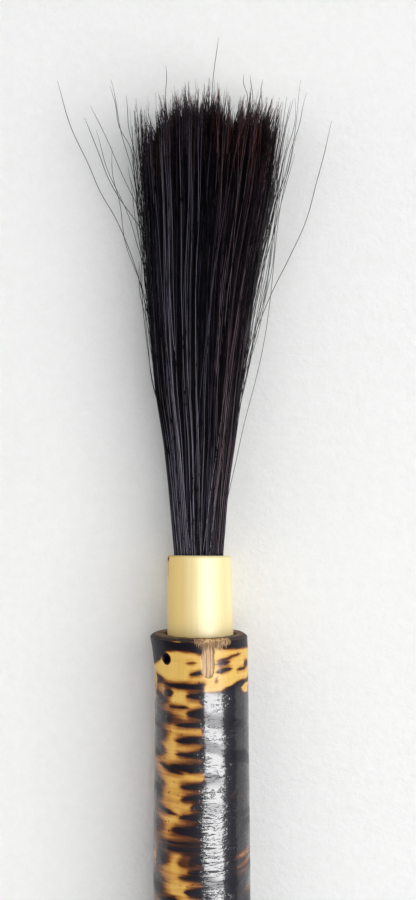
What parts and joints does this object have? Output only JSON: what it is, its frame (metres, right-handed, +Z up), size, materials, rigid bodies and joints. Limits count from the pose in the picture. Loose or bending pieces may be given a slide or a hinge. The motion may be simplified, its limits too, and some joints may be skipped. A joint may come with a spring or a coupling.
{
  "type": "calligraphy brush",
  "caption": "Large calligraphy brush with a burnt bamboo handle, a pale bamboo ferrule and a fanned black horsehair tuft that bends at the ferrule's mouth.",
  "frame": {"origin": "centre of the flat butt face, on the handle's axis", "axes": "+Y along the handle from the butt to the tuft, +Z up with the brush lying on a table, +X to the right seen from above with the tuft away from the viewer"},
  "size_m": [0.0746, 0.3548, 0.0263],
  "materials": {
    "burnt_bamboo": "lacquered",
    "pale_bamboo": "satin",
    "amber_glue": "gloss",
    "rosin": "gloss",
    "waxed_thread": "waxed",
    "horsehair": "satin hair"
  },
  "bodies": {
    "handle": {"handle_culm": "burnt_bamboo", "ferrule": "pale_bamboo", "ferrule_glue": "amber_glue", "rosin_root_plug": "rosin", "root_binding_thread": "waxed_thread", "seat_glue": "amber_glue"},
    "tuft": {"tuft_core": "horsehair", "tuft_padding": "horsehair", "tuft_mantle": "horsehair", "stray_hairs": "horsehair"}
  },
  "joints": [
    {"name": "tuft_bend", "type": "hinge", "parent": "handle", "child": "tuft", "pos_m": [-0.00071, 0.2258, 0], "axis": [0, 0, 1], "range_deg": [-35, 35], "stiffness_Nm_per_rad": 0.03}
  ]
}
